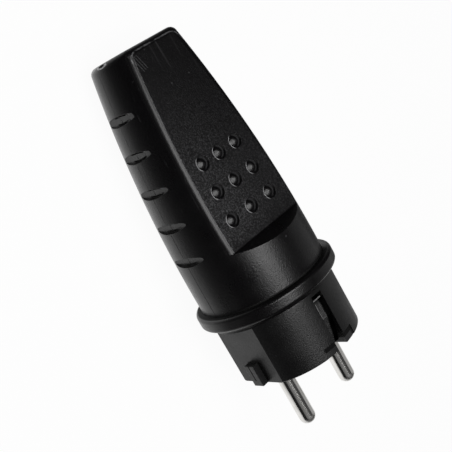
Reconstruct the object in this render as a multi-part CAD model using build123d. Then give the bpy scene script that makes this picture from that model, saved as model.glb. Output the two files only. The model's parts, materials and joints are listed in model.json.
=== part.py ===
from build123d import *
import os
from math import asin, atan, atan2, cos, degrees, hypot, radians, sin, sqrt, tan

# A rewirable rubber plug with two round pins and earth contacts at its sides.
# Plug frame: X runs along the plug with the pins at +X and the front face of the nose at x = 0,
# Y runs through both pins, Z is the normal of the grip flats. Sizes are in millimetres.

# Contact pins
pin_diameter = 4.8
pin_length = 19.0
pin_spacing = 19.0
root_diameter = 5.4
root_taper = 0.8
collar_diameter = 6.8
collar_thickness = 2.0
pin_neck_length = 6.0
head_width = 6.4
head_length = 12.0
head_edge = 0.5
wire_hole_diameter = 3.2
wire_hole_depth = 9.0

# Nose, the part that enters the socket
nose_radius = 18.2
nose_length = 17.7
nose_edge = 0.4
guide_flat_distance = 16.2
lug_width = 3.8
lug_length = 6.4
lug_edge = 0.15

# Earth slots and front recesses in the nose
slot_width = 3.8
slot_length = 16.7
slot_depth = 5.4
recess_width = 11.8
recess_length = 3.1
recess_depth = 0.45

# Contact carrier behind the front wall
front_wall = 5.0
spigot_radius = 15.6
spigot_length = 16.6
spigot_wall = 2.0
bead_height = 0.7
bead_width = 2.0
bead_to_spigot_end = 2.4
barrier_thickness = 1.0
barrier_gap = 0.5
boss_diameter = 8.4
window_length = 7.0

# Earth bow
strip_thickness = 0.8
strip_width = 3.4
strip_bend = 1.2
plate_depth = 14.6
plate_width = 8.0
plate_tail = 6.0
leg_height = 17.4
leg_knee_height = 17.3
leg_knee_depth = 9.8
leg_tip_height = 15.0
leg_tip_depth = 1.4
earth_screw_to_wall = 5.0

# Flange and rubber grip
flange_radius = 21.0
flange_band = 3.5
flange_taper = 1.9
flange_edge = 0.9
grip_radius = 18.8
grip_rear_radius = 12.25
grip_length = 71.2
grip_straight = 2.2
grip_edge_round = 2.0
housing_wall = 3.0

# Grip flats with the steps at their front ends
flat_front_height = 13.2
flat_rear_height = 9.7
step_to_flange = 14.7
step_lean = 20.0

# Dimples on the flats: a round recess with a low dome in it
dimple_rows = 3
dimple_columns = 3
dimple_radius = 1.9
dimple_depth = 0.9
dimple_rim = 0.25
dome_radius = 1.55
dome_below_flat = 0.2
dimple_row_pitch = 8.05
dimple_column_pitch = 7.4
dimple_column_narrowing = 0.6
first_dimple_row = 7.1

# Grip notches across the rounded sides
notch_count = 5
notch_pitch = 10.0
notch_width = 2.6
notch_length = 13.4
notch_depth = 1.3
first_notch = 2.1

# Cable entry
cable_bore_diameter = 10.4
cable_bore_length = 20.0
cable_funnel_length = 8.0
cable_funnel_diameter = 15.0
cable_mouth_round = 1.0

# Terminal cover with its cord cradle, and the cord clamp
cover_thickness = 2.5
wire_window_diameter = 4.4
earth_window_diameter = 8.8
cradle_bore_diameter = 10.0
cradle_wall = 2.5
cradle_length = 23.5
clamp_width = 8.0
clamp_to_cradle_end = 4.0
clamp_screw_spacing = 17.6
clamp_boss_diameter = 6.4
clamp_boss_height = 7.0
clamp_ear_thickness = 3.0
clamp_rib_height = 0.6
clamp_rib_width = 1.0

# Screws and washer
terminal_screw_diameter = 3.5
terminal_screw_head_diameter = 5.5
terminal_screw_head_height = 2.0
terminal_screw_reach = 0.5
terminal_screw_to_head_end = 4.0
earth_screw_length = 7.0
washer_width = 7.0
washer_thickness = 1.0
centre_screw_diameter = 4.0
centre_screw_head_diameter = 7.0
centre_screw_head_height = 2.4
centre_screw_grip = 9.0
clamp_screw_diameter = 3.0
clamp_screw_head_diameter = 5.6
clamp_screw_head_height = 2.2
clamp_screw_engagement = 6.0
driver_slot_width = 0.9
driver_slot_depth = 1.0

# Fits
hole_clearance = 0.1
spigot_clearance = 0.1
cover_clearance = 0.2
screw_head_clearance = 0.4

# Places along the plug, as depths behind the front face
carrier_depth = nose_length + spigot_length
chamber_radius = spigot_radius - spigot_wall
earth_screw_offset = chamber_radius - earth_screw_to_wall
flange_rear_depth = nose_length + flange_taper + flange_band
rear_depth = flange_rear_depth + grip_length
step_depth = flange_rear_depth + step_to_flange
grip_arc_length = grip_length - grip_straight
collar_rear_depth = front_wall + collar_thickness
head_front_depth = collar_rear_depth + pin_neck_length
head_rear_depth = head_front_depth + head_length
cover_rear_depth = head_rear_depth + cover_thickness
cradle_end_depth = cover_rear_depth + cradle_length
clamp_depth = cradle_end_depth - clamp_to_cradle_end - clamp_width / 2
terminal_screw_depth = head_rear_depth - terminal_screw_to_head_end
bore_start_depth = rear_depth - cable_bore_length
plate_rear_depth = plate_depth + strip_thickness
flat_slope = (flat_front_height - flat_rear_height) / (rear_depth - step_depth)
barrier_centre = pin_spacing / 2 - head_width / 2 - barrier_gap - barrier_thickness / 2
far = 2 * rear_depth


def rod(radius, start_depth, end_depth, y=0.0, z=0.0):
    """Round bar along the plug between two depths behind the front face."""
    length = end_depth - start_depth
    return Pos(-(start_depth + end_depth) / 2, y, z) * Rot(0, 90, 0) * Cylinder(radius, length)


def post(radius, low, high, depth, y=0.0):
    """Round bar upright on the plug between two heights."""
    return Pos(-depth, y, (low + high) / 2) * Cylinder(radius, high - low)


def block(start_depth, end_depth, y_low, y_high, z_low, z_high):
    """Box between two depths and the given side and height limits."""
    centre = Pos(-(start_depth + end_depth) / 2, (y_low + y_high) / 2, (z_low + z_high) / 2)
    return centre * Box(end_depth - start_depth, y_high - y_low, z_high - z_low)


def both_sides(shape, plane):
    """A shape and its mirror image."""
    return [shape, mirror(shape, about=plane)]


def turned(outline):
    """Solid of revolution about the plug's axis from a closed outline drawn in X and Z."""
    return revolve(Plane.XZ * make_face(outline), Axis.X)


def flat_height(depth):
    """Height of the grip flat above the axis at a depth behind the front face."""
    return flat_front_height - flat_slope * (depth - step_depth)


def barrel_radius():
    """Radius of the long arc that the barrel line of the grip follows."""
    drop = grip_radius - grip_rear_radius
    return (grip_arc_length**2 + drop**2) / (2 * drop)


def grip_radius_at(depth):
    """Radius of the grip at a depth behind the front face."""
    run = max(depth - flange_rear_depth - grip_straight, 0.0)
    return grip_radius - barrel_radius() + sqrt(barrel_radius() ** 2 - run**2)


def grip_arc(inset):
    """Barrel line of the grip, moved inwards by the inset: straight at first, then one long arc."""
    start = (-(flange_rear_depth + grip_straight), grip_radius - inset)
    return JernArc(start, (-1, 0), barrel_radius() - inset, degrees(asin(grip_arc_length / barrel_radius())))


def grip_form(inset):
    """Round barrel of the grip from the nose to the rear end, moved inwards by the inset."""
    front = -nose_length
    arc = grip_arc(inset)
    line = Polyline((arc @ 1), ((arc @ 1).X, 0), (front, 0), (front, grip_radius - inset), (arc @ 0))
    return turned([arc, line])


def flat_cutter(inset, has_step):
    """Wedge above the upper grip flat, which ends in the leaning step or runs on to the front."""
    top = 2 * flange_radius
    front_depth = step_depth if has_step else 0.0
    front_height = flat_height(front_depth) - inset
    lean = tan(radians(step_lean)) * (top - front_height) if has_step else 0.0
    outline = Polyline(
        (-far, flat_height(far) - inset),
        (-front_depth, front_height),
        (-front_depth + lean, top),
        (-far, top),
        close=True,
    )
    return extrude(Plane.XZ * make_face(outline), 2 * flange_radius, both=True)


def rubber_grip():
    """Barrel cut by the two flats, with soft ridges and a rounded rear end."""
    grip = grip_form(0.0) - both_sides(flat_cutter(0.0, True), Plane.XY)
    flats = grip.faces().filter_by(GeomType.PLANE).filter_by(lambda face: abs(face.normal_at().Z) > 0.9)
    ridges = flats.edges().filter_by(GeomType.LINE, reverse=True)
    rear_edges = grip.faces().sort_by(Axis.X)[0].edges()
    return fillet(ridges + rear_edges, grip_edge_round)


def flange():
    """Sealing flange: a band with rounded edges and a taper down to the nose."""
    band_front = -(nose_length + flange_taper)
    band_rear = -flange_rear_depth
    outline = Polyline(
        (band_rear, 0),
        (band_rear, flange_radius),
        (band_front, flange_radius),
        (-nose_length, nose_radius),
        (-nose_length, 0),
        close=True,
    )
    face = make_face(outline)
    rims = face.vertices().group_by(Axis.Y)[-1]
    face = fillet(rims, flange_edge)
    return revolve(Plane.XZ * face, Axis.X)


def dimple_cutter():
    """Recess of one dimple, with its rim rounded outwards and the dome left standing."""
    wall_foot = (dimple_radius, -dimple_depth)
    wall_top = (dimple_radius, -dimple_rim)
    rim_edge = (dimple_radius + dimple_rim, 0)
    half_turn = sqrt(0.5)
    rim_middle = (rim_edge[0] - half_turn * dimple_rim, wall_top[1] + half_turn * dimple_rim)
    dome_foot = (dome_radius, -dimple_depth)
    dome_top = (0, -dome_below_flat)
    dome_rise = dimple_depth - dome_below_flat
    sphere = (dome_radius**2 + dome_rise**2) / (2 * dome_rise)
    half_angle = asin(dome_radius / sphere) / 2
    dome_middle = (sphere * sin(half_angle), dome_top[1] - sphere * (1 - cos(half_angle)))
    outline = [
        ThreePointArc(dome_top, dome_middle, dome_foot),
        Line(dome_foot, wall_foot),
        Line(wall_foot, wall_top),
        ThreePointArc(wall_top, rim_middle, rim_edge),
        Polyline(rim_edge, (rim_edge[0], dimple_depth), (0, dimple_depth), dome_top),
    ]
    return revolve(Plane.XZ * make_face(outline), Axis.Z)


def dimple_cutters():
    """Rows of dimples on the upper flat, whose columns draw together towards the rear."""
    slope_angle = degrees(atan(flat_slope))
    cutter = dimple_cutter()
    cutters = []
    for row in range(dimple_rows):
        depth = step_depth + first_dimple_row + row * dimple_row_pitch
        pitch = dimple_column_pitch - row * dimple_column_narrowing
        for column in range(dimple_columns):
            y = (column - (dimple_columns - 1) / 2) * pitch
            cutters.append(Pos(-depth, y, flat_height(depth)) * Rot(0, -slope_angle, 0) * cutter)
    return cutters


def notch_cutters():
    """Row of oval notches across one rounded side, cut straight in to flat floors."""
    outline = Ellipse(notch_width / 2, notch_length / 2)
    cutters = []
    for index in range(notch_count):
        depth = step_depth + first_notch + index * notch_pitch
        floor = Plane.XZ.offset(grip_radius_at(depth) - notch_depth)
        cutters.append(extrude(floor * Pos(-depth, 0) * outline, grip_radius))
    return cutters


def housing_cavity():
    """Space inside the grip: socket for the spigot, room for the terminals, funnel and cable bore."""
    socket_depth = carrier_depth + spigot_clearance
    socket_radius = spigot_radius + spigot_clearance
    funnel_depth = bore_start_depth - cable_funnel_length
    socket = rod(socket_radius, 0, socket_depth)
    room = grip_form(housing_wall) & block(carrier_depth, funnel_depth, -far, far, -far, far)
    room = room - both_sides(flat_cutter(housing_wall, False), Plane.XY)
    bore_radius = cable_bore_diameter / 2
    funnel = turned(
        Polyline(
            (-funnel_depth, 0),
            (-funnel_depth, cable_funnel_diameter / 2),
            (-bore_start_depth, bore_radius),
            (-bore_start_depth, 0),
            close=True,
        )
    )
    bore = rod(bore_radius, bore_start_depth, rear_depth + grip_edge_round)
    return [socket, room, funnel, bore, bead(spigot_clearance)]


def bead(clearance):
    """Snap ring round the spigot, or with a clearance the groove that takes it."""
    middle = carrier_depth - bead_to_spigot_end - bead_width / 2
    half = bead_width / 2 + clearance
    crown = spigot_radius + bead_height + clearance
    outline = Polyline(
        (-(middle + half), chamber_radius),
        (-(middle + half), spigot_radius),
        (-(middle + half - bead_height), crown),
        (-(middle - half + bead_height), crown),
        (-(middle - half), spigot_radius),
        (-(middle - half), chamber_radius),
        close=True,
    )
    return turned(outline)


def rubber_housing():
    housing = rubber_grip() + flange()
    housing = housing - dimple_cutters() - [mirror(cut, about=Plane.XY) for cut in dimple_cutters()]
    notches = notch_cutters()
    housing = housing - notches - [mirror(cut, about=Plane.XZ) for cut in notches]
    housing = housing - housing_cavity()
    mouth = housing.faces().sort_by(Axis.X)[0].edges().filter_by(GeomType.CIRCLE)
    return fillet(mouth.sort_by(SortBy.RADIUS)[0], cable_mouth_round)


def carrier_blank():
    """Turned form of the carrier: solid nose with a rounded front edge, and its spigot."""
    outline = Polyline(
        (0, 0),
        (0, nose_radius),
        (-nose_length, nose_radius),
        (-nose_length, spigot_radius),
        (-carrier_depth, spigot_radius),
        (-carrier_depth, 0),
        close=True,
    )
    face = make_face(outline)
    front_edge = face.vertices().sort_by_distance((0, nose_radius))[0]
    face = fillet(front_edge, nose_edge)
    return revolve(Plane.XZ * face, Axis.X) + bead(0.0)


def guide_lug():
    """Lug at the front of a guide flat, flush with the round of the nose."""
    half = lug_width / 2
    top = sqrt(nose_radius**2 - half**2)
    lug = block(0, lug_length, -top, -guide_flat_distance + lug_edge, -half, half)
    return fillet(lug.faces().sort_by(Axis.Y)[0].edges(), lug_edge)


def barrier():
    """Wall between a pin's terminal and the earth, inside the chamber."""
    low = barrier_centre - barrier_thickness / 2
    high = barrier_centre + barrier_thickness / 2
    wall = block(front_wall, head_rear_depth, low, high, -chamber_radius, chamber_radius)
    return wall & rod(chamber_radius, front_wall, head_rear_depth)


def earth_slot():
    """Slot for the upper earth contact: shallow in the front wall, then open to the chamber."""
    half = slot_width / 2
    outer = block(0, slot_length, -half, half, nose_radius - slot_depth, 2 * nose_radius)
    inner = block(front_wall, carrier_depth, -half, half, chamber_radius - spigot_wall, spigot_radius)
    through = block(front_wall, slot_length, -half, half, chamber_radius - spigot_wall, nose_radius)
    wide = block(0, recess_length, -recess_width / 2, recess_width / 2, 0, 2 * nose_radius)
    wide -= rod(nose_radius - recess_depth, 0, recess_length)
    return [outer, inner, through, wide]


def contact_carrier():
    carrier = carrier_blank() - rod(chamber_radius, front_wall, carrier_depth)
    carrier += both_sides(barrier(), Plane.XZ)
    carrier += rod(boss_diameter / 2, front_wall, plate_depth)
    side = block(0, nose_length, -2 * nose_radius, -guide_flat_distance, -far, far)
    carrier -= both_sides(side, Plane.XZ)
    carrier += both_sides(guide_lug(), Plane.XZ)
    for cut in earth_slot():
        carrier -= both_sides(cut, Plane.XY)
    y = pin_spacing / 2
    pin_hole = rod(root_diameter / 2 + hole_clearance, 0, front_wall, y)
    carrier -= both_sides(pin_hole, Plane.XZ)
    collar_room = rod(collar_diameter / 2 + hole_clearance, front_wall, collar_rear_depth, y)
    carrier -= both_sides(collar_room, Plane.XZ)
    room = head_width / 2 + hole_clearance
    head_room = block(head_front_depth, carrier_depth, y - room, y + room, -room, room)
    carrier -= both_sides(head_room, Plane.XZ)
    window_start = terminal_screw_depth - window_length / 2
    window_end = terminal_screw_depth + window_length / 2
    half = terminal_screw_head_diameter / 2 + screw_head_clearance
    window = block(window_start, window_end, y - half, y + half, head_width / 2, spigot_radius)
    carrier -= both_sides(window, Plane.XZ)
    carrier -= rod(centre_screw_diameter / 2 + hole_clearance, 0, plate_depth)
    head_pocket = centre_screw_head_diameter / 2 + screw_head_clearance
    return carrier - rod(head_pocket, 0, centre_screw_head_height)


def contact_pin(side):
    """Turned pin with a domed tip, a thicker root with a collar, and a square terminal head."""
    radius = pin_diameter / 2
    root = root_diameter / 2
    dome_foot = pin_length - radius
    half_turn = sqrt(0.5)
    dome = ThreePointArc(
        (pin_length, 0), (dome_foot + half_turn * radius, half_turn * radius), (dome_foot, radius)
    )
    shank = Polyline(
        (dome_foot, radius),
        (root_taper, radius),
        (0, root),
        (-front_wall, root),
        (-front_wall, collar_diameter / 2),
        (-collar_rear_depth, collar_diameter / 2),
        (-collar_rear_depth, root),
        (-head_front_depth, root),
        (-head_front_depth, 0),
        (pin_length, 0),
    )
    half = head_width / 2
    head = block(head_front_depth, head_rear_depth, -half, half, -half, half)
    head = fillet(head.edges().filter_by(Axis.X), head_edge)
    pin = turned([dome, shank]) + head
    pin -= rod(wire_hole_diameter / 2, head_rear_depth - wire_hole_depth, head_rear_depth)
    pin -= post(terminal_screw_diameter / 2, 0, head_width, terminal_screw_depth)
    return Pos(0, side * pin_spacing / 2, 0) * pin


def cheese_screw(diameter, length, head_diameter, head_height):
    """Slotted screw along Z, with the underside of its head at z = 0 and its shank below."""
    shank = Pos(0, 0, -length / 2) * Cylinder(diameter / 2, length)
    head = Pos(0, 0, head_height / 2) * Cylinder(head_diameter / 2, head_height)
    slot_middle = head_height - driver_slot_depth / 2
    slot = Pos(0, 0, slot_middle) * Box(head_diameter, driver_slot_width, driver_slot_depth)
    return shank + head - slot


def terminal_screw_group():
    length = head_width / 2 - terminal_screw_reach
    screw = cheese_screw(
        terminal_screw_diameter, length, terminal_screw_head_diameter, terminal_screw_head_height
    )
    seated = Pos(-terminal_screw_depth, pin_spacing / 2, head_width / 2) * screw
    return Compound(both_sides(seated, Plane.XZ))


def earth_bow():
    """Bent strip: a plate on the carrier's boss, and two legs that run forward in the slots."""
    middle = -(plate_depth + strip_thickness / 2)
    leg = FilletPolyline(
        (middle, 0),
        (middle, leg_height),
        (-leg_knee_depth, leg_knee_height),
        (-leg_tip_depth, leg_tip_height),
        radius=strip_bend,
    )
    strip = extrude(Plane.XZ * trace(leg, strip_thickness), strip_width / 2, both=True)
    bow = strip + mirror(strip, about=Plane.XY)
    plate_top = earth_screw_offset + plate_width / 2
    half = plate_width / 2
    bow += block(plate_depth, plate_rear_depth, -half, half, -plate_tail, plate_top)
    bow -= rod(centre_screw_diameter / 2 + hole_clearance, 0, plate_rear_depth)
    return bow - rod(terminal_screw_diameter / 2, plate_depth, plate_rear_depth, 0, earth_screw_offset)


def earth_washer():
    half = washer_width / 2
    end = plate_rear_depth + washer_thickness
    low = earth_screw_offset - half
    washer = block(plate_rear_depth, end, -half, half, low, low + washer_width)
    return washer - rod(terminal_screw_diameter / 2 + hole_clearance, 0, end, 0, earth_screw_offset)


def earth_screw():
    screw = cheese_screw(
        terminal_screw_diameter, earth_screw_length, terminal_screw_head_diameter, terminal_screw_head_height
    )
    return Pos(-(plate_rear_depth + washer_thickness), 0, earth_screw_offset) * Rot(0, -90, 0) * screw


def centre_screw():
    reach = plate_rear_depth + centre_screw_grip
    screw = cheese_screw(
        centre_screw_diameter,
        reach - centre_screw_head_height,
        centre_screw_head_diameter,
        centre_screw_head_height,
    )
    return Pos(-centre_screw_head_height, 0, 0) * Rot(0, 90, 0) * screw


def half_pipe(start_depth, end_depth, upper):
    """Half of the tube that goes round the cord."""
    outer = cradle_bore_diameter / 2 + cradle_wall
    pipe = rod(outer, start_depth, end_depth) - rod(cradle_bore_diameter / 2, start_depth, end_depth)
    low, high = (0, outer) if upper else (-outer, 0)
    return pipe & block(start_depth, end_depth, -outer, outer, low, high)


def terminal_cover():
    """Plate behind the terminals, with a boss on the earth plate and the cradle for the cord."""
    neck = barrier_centre - barrier_thickness / 2 - barrier_gap
    cover = rod(chamber_radius - cover_clearance, head_rear_depth, cover_rear_depth)
    cover += rod(neck, plate_rear_depth, head_rear_depth)
    wire_window = rod(wire_window_diameter / 2, head_rear_depth, cover_rear_depth, pin_spacing / 2)
    cover -= both_sides(wire_window, Plane.XZ)
    earth_centre = earth_screw_offset
    cover -= rod(earth_window_diameter / 2, plate_rear_depth, cover_rear_depth, 0, earth_centre)
    cover -= rod(centre_screw_diameter / 2, plate_rear_depth, plate_rear_depth + centre_screw_grip)
    cover += half_pipe(cover_rear_depth, cradle_end_depth, False)
    y = clamp_screw_spacing / 2
    boss = post(clamp_boss_diameter / 2, -clamp_boss_height, 0, clamp_depth, y)
    web_start = clamp_depth - cradle_wall / 2
    web = block(web_start, web_start + cradle_wall, cradle_bore_diameter / 2, y, -clamp_boss_height, 0)
    boss = boss + web - rod(cradle_bore_diameter / 2, 0, cradle_end_depth)
    cover += both_sides(boss, Plane.XZ)
    screw_hole = post(clamp_screw_diameter / 2, -clamp_screw_engagement, 0, clamp_depth, y)
    return cover - both_sides(screw_hole, Plane.XZ)


def cord_clamp():
    """Saddle over the cord, with two ears for its screws and two ribs that bite on the cord."""
    start = clamp_depth - clamp_width / 2
    end = clamp_depth + clamp_width / 2
    y = clamp_screw_spacing / 2
    bore = rod(cradle_bore_diameter / 2, start, end)
    ear = post(clamp_width / 2, 0, clamp_ear_thickness, clamp_depth, y)
    ear += block(start, end, 0, y, 0, clamp_ear_thickness)
    saddle = half_pipe(start, end, True) + both_sides(ear - bore, Plane.XZ)
    for rib_depth in (clamp_depth - clamp_width / 4, clamp_depth + clamp_width / 4):
        rib_start = rib_depth - clamp_rib_width / 2
        rib_end = rib_depth + clamp_rib_width / 2
        ring = rod(cradle_bore_diameter / 2 + cradle_wall / 2, rib_start, rib_end)
        ring -= rod(cradle_bore_diameter / 2 - clamp_rib_height, rib_start, rib_end)
        saddle += ring & block(rib_start, rib_end, -far, far, 0, far)
    hole = post(clamp_screw_diameter / 2 + hole_clearance, 0, clamp_ear_thickness, clamp_depth, y)
    head_room = clamp_screw_head_diameter / 2 + screw_head_clearance
    hole += post(head_room, clamp_ear_thickness, cradle_bore_diameter, clamp_depth, y)
    return saddle - both_sides(hole, Plane.XZ)


def cord_clamp_screw_group():
    screw = cheese_screw(
        clamp_screw_diameter,
        clamp_ear_thickness + clamp_screw_engagement,
        clamp_screw_head_diameter,
        clamp_screw_head_height,
    )
    seated = Pos(-clamp_depth, clamp_screw_spacing / 2, clamp_ear_thickness) * screw
    return Compound(both_sides(seated, Plane.XZ))


def rest_tilt():
    """Angle by which the nose points up when the plug lies on its flange and its rear edge."""
    flange_x = -flange_rear_depth + flange_edge
    flange_z = -(flange_radius - flange_edge)
    rear_x = -rear_depth + grip_edge_round
    rear_z = -(flat_height(rear_depth - grip_edge_round)) + grip_edge_round * sqrt(1 + flat_slope**2)
    run = flange_x - rear_x
    fall = flange_z - rear_z
    return degrees(asin((flange_edge - grip_edge_round) / hypot(run, fall)) - atan2(fall, run))


pieces = {
    "rubber_housing": rubber_housing(),
    "contact_carrier": contact_carrier(),
    "terminal_cover": terminal_cover(),
    "live_pin": contact_pin(-1),
    "neutral_pin": contact_pin(1),
    "terminal_screws": terminal_screw_group(),
    "earth_bow": earth_bow(),
    "earth_screw": earth_screw(),
    "earth_washer": earth_washer(),
    "centre_screw": centre_screw(),
    "cord_clamp": cord_clamp(),
    "cord_clamp_screws": cord_clamp_screw_group(),
}

# The plug lies at rest with its origin under the middle of its box
turn = Rot(0, -rest_tilt(), 0)
box = Compound([turn * piece for piece in pieces.values()]).bounding_box()
rest = Pos(-(box.min.X + box.max.X) / 2, 0, -box.min.Z) * turn

os.makedirs("parts", exist_ok=True)
for name, piece in pieces.items():
    export_step(rest * piece, f"parts/{name}.step")
print("rest tilt", round(rest_tilt(), 3), "rest position", rest.position)
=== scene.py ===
import json
import math

import bpy
import numpy as np
from mathutils import Matrix, Vector


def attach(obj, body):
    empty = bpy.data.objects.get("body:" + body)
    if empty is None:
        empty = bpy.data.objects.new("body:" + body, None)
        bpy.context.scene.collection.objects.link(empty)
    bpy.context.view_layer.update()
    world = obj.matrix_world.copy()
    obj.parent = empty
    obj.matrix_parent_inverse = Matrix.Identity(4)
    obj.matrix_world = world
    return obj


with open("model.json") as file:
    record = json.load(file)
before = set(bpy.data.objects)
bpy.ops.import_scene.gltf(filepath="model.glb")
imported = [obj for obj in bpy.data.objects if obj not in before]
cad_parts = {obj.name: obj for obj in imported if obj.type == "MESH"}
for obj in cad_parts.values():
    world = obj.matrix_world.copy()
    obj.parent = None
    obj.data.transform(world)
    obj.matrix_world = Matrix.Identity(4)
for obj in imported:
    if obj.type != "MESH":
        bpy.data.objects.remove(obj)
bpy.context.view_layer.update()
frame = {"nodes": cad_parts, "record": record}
print("frame loaded:", len(frame["nodes"]), "nodes")

# The plug's own frame: x runs along the plug to the pins, with x = 0 on the nose's front face,
# y runs through both pins, z is the normal of the grip flats. All lengths are metres.
mm = 0.001
pinMountAhead = 8.7 * mm  # middle of the pins' round wall, ahead of the nose's front face
mounts = {mount["name"]: mount for mount in frame["record"]["mounts"]}
pinAxis = Vector(mounts["live_pin"]["axis"])
pinMiddle = (Vector(mounts["live_pin"]["pos_m"]) + Vector(mounts["neutral_pin"]["pos_m"])) / 2
noseCentre = pinMiddle - pinMountAhead * pinAxis
restTilt = math.atan2(pinAxis.z, pinAxis.x)
plugToRow = Matrix.Translation(noseCentre) @ Matrix.Rotation(-restTilt, 4, "Y")

grip = {  # sides of the rubber grip, for its material and for the mould seam
    "flangeRear": -23.1 * mm,
    "straight": 2.2 * mm,
    "length": 71.2 * mm,
    "frontRadius": 18.8 * mm,
    "rearRadius": 12.25 * mm,
    "rearRound": 2.0 * mm,
    "firstNotch": -39.9 * mm,
    "notchPitch": 10.0 * mm,
    "notchWidth": 2.6 * mm,
    "notchLength": 13.4 * mm,
    "notchCount": 5,
}


# Node helpers: a value is either a socket to link or a constant to set

def feed(tree, socket, value):
    if isinstance(value, bpy.types.NodeSocket):
        tree.links.new(value, socket)
    else:
        socket.default_value = value


def put(tree, kind, **values):
    node = tree.nodes.new(kind)
    for name, value in values.items():
        if name in node.inputs:
            feed(tree, node.inputs[name], value)
        else:
            setattr(node, name, value)
    return node


def sums(tree, operation, *values, clamp=False):
    node = put(tree, "ShaderNodeMath", operation=operation, use_clamp=clamp)
    for socket, value in zip(node.inputs, values):
        feed(tree, socket, value)
    return node.outputs[0]


def product(tree, first, *others):
    for other in others:
        first = sums(tree, "MULTIPLY", first, other)
    return first


def greatest(tree, first, *others):
    for other in others:
        first = sums(tree, "MAXIMUM", first, other)
    return first


def absolute(tree, value):
    return sums(tree, "ABSOLUTE", value)


def apart(tree, first, second):  # difference without its sign
    return absolute(tree, sums(tree, "SUBTRACT", first, second))


def hypotenuse(tree, first, second):  # root of the sum of two squares
    return sums(tree, "SQRT", sums(tree, "MULTIPLY_ADD", first, first, product(tree, second, second)))


def nearest(tree, value, low, high):  # nearest whole number from low to high
    return sums(tree, "MINIMUM", greatest(tree, sums(tree, "ROUND", value), low), high)


def ramp(tree, value, low, high, start=0.0, end=1.0):  # smooth step from start to end
    node = put(tree, "ShaderNodeMapRange", interpolation_type="SMOOTHSTEP")
    for name, number in (("From Min", low), ("From Max", high), ("To Min", start), ("To Max", end)):
        node.inputs[name].default_value = number
    feed(tree, node.inputs["Value"], value)
    return node.outputs["Result"]


def blendColours(tree, factor, first, second):
    node = put(tree, "ShaderNodeMix", data_type="RGBA")
    feed(tree, node.inputs["Factor"], factor)
    feed(tree, node.inputs[6], first)
    feed(tree, node.inputs[7], second)
    return node.outputs[2]


def blendValues(tree, factor, first, second):
    node = put(tree, "ShaderNodeMix", data_type="FLOAT")
    feed(tree, node.inputs["Factor"], factor)
    feed(tree, node.inputs[2], first)
    feed(tree, node.inputs[3], second)
    return node.outputs[0]


def blendVectors(tree, factor, first, second):
    node = put(tree, "ShaderNodeMix", data_type="VECTOR")
    feed(tree, node.inputs["Factor"], factor)
    feed(tree, node.inputs[4], first)
    feed(tree, node.inputs[5], second)
    return node.outputs[1]


def noise(tree, vector, scale, detail=2.0, rough=0.5):
    node = put(tree, "ShaderNodeTexNoise", Vector=vector, Scale=scale, Detail=detail, Roughness=rough)
    return node.outputs[0]


def axes(tree, vector):
    return put(tree, "ShaderNodeSeparateXYZ", Vector=vector).outputs[:]


def about(tree, vector, place, **values):  # coordinates measured from a place, turned or scaled
    node = put(tree, "ShaderNodeMapping", vector_type="TEXTURE", Vector=vector, Location=place, **values)
    return node.outputs[0]


def ellipsoid(tree, vector, place, halfAxes):  # coordinates in half axes, and their length: 1 on it
    local = about(tree, vector, place, Scale=halfAxes)
    node = put(tree, "ShaderNodeVectorMath", operation="LENGTH")
    feed(tree, node.inputs[0], local)
    return local, node.outputs["Value"]


def plugCoordinates(tree):  # Object coordinates turned into the plug's own frame
    coordinates = put(tree, "ShaderNodeTexCoord").outputs["Object"]
    return about(tree, coordinates, noseCentre, Rotation=(0, -restTilt, 0))


def addRelief(tree, shader, relief, **values):  # a bump whose heights are metres
    bump = put(tree, "ShaderNodeBump", Height=relief, Distance=1.0, Strength=1.0, **values)
    feed(tree, shader.inputs["Normal"], bump.outputs[0])


def newGroup(name, vectors, values, outputs):
    tree = bpy.data.node_groups.new(name, "ShaderNodeTree")
    for label in vectors:
        tree.interface.new_socket(label, in_out="INPUT", socket_type="NodeSocketVector")
    for label in values:
        tree.interface.new_socket(label, in_out="INPUT", socket_type="NodeSocketFloat")
    for label in outputs:
        tree.interface.new_socket(label, in_out="OUTPUT", socket_type="NodeSocketFloat")
    return tree, put(tree, "NodeGroupInput").outputs, put(tree, "NodeGroupOutput").inputs


def useGroup(tree, group, **values):
    node = put(tree, "ShaderNodeGroup", node_tree=group)
    for name, value in values.items():
        feed(tree, node.inputs[name], value)
    return node.outputs


# Shared surface effects

grainNoise = {"fineDetail": 1.0, "coarseDetail": 2.0, "coarseShare": 0.7, "cloud": (4.0, 0.6)}


def makeMouldGrain():
    # height of a spark-eroded mould: fine noise plus a coarser one, with a slow cloud for the finish
    scales = ["Fine", "Coarse", "Cloud"]
    tree, given, result = newGroup("mouldGrain", ["Vector"], scales, ["Height", "Finish"])
    fine = noise(tree, given["Vector"], given["Fine"], grainNoise["fineDetail"])
    coarse = noise(tree, given["Vector"], given["Coarse"], grainNoise["coarseDetail"])
    feed(tree, result["Height"], sums(tree, "MULTIPLY_ADD", coarse, grainNoise["coarseShare"], fine))
    feed(tree, result["Finish"], noise(tree, given["Vector"], given["Cloud"], *grainNoise["cloud"]))
    return tree


hairs = {
    "turns": (0.5, -0.75), "lean": 0.3, "stretch": (0.04, 1.0, 1.0), "detail": 1.0, "cut": (0.70, 0.76),
}
specks = {"edge": (0.06, 0.14), "chosenAbove": 0.86}


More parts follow.
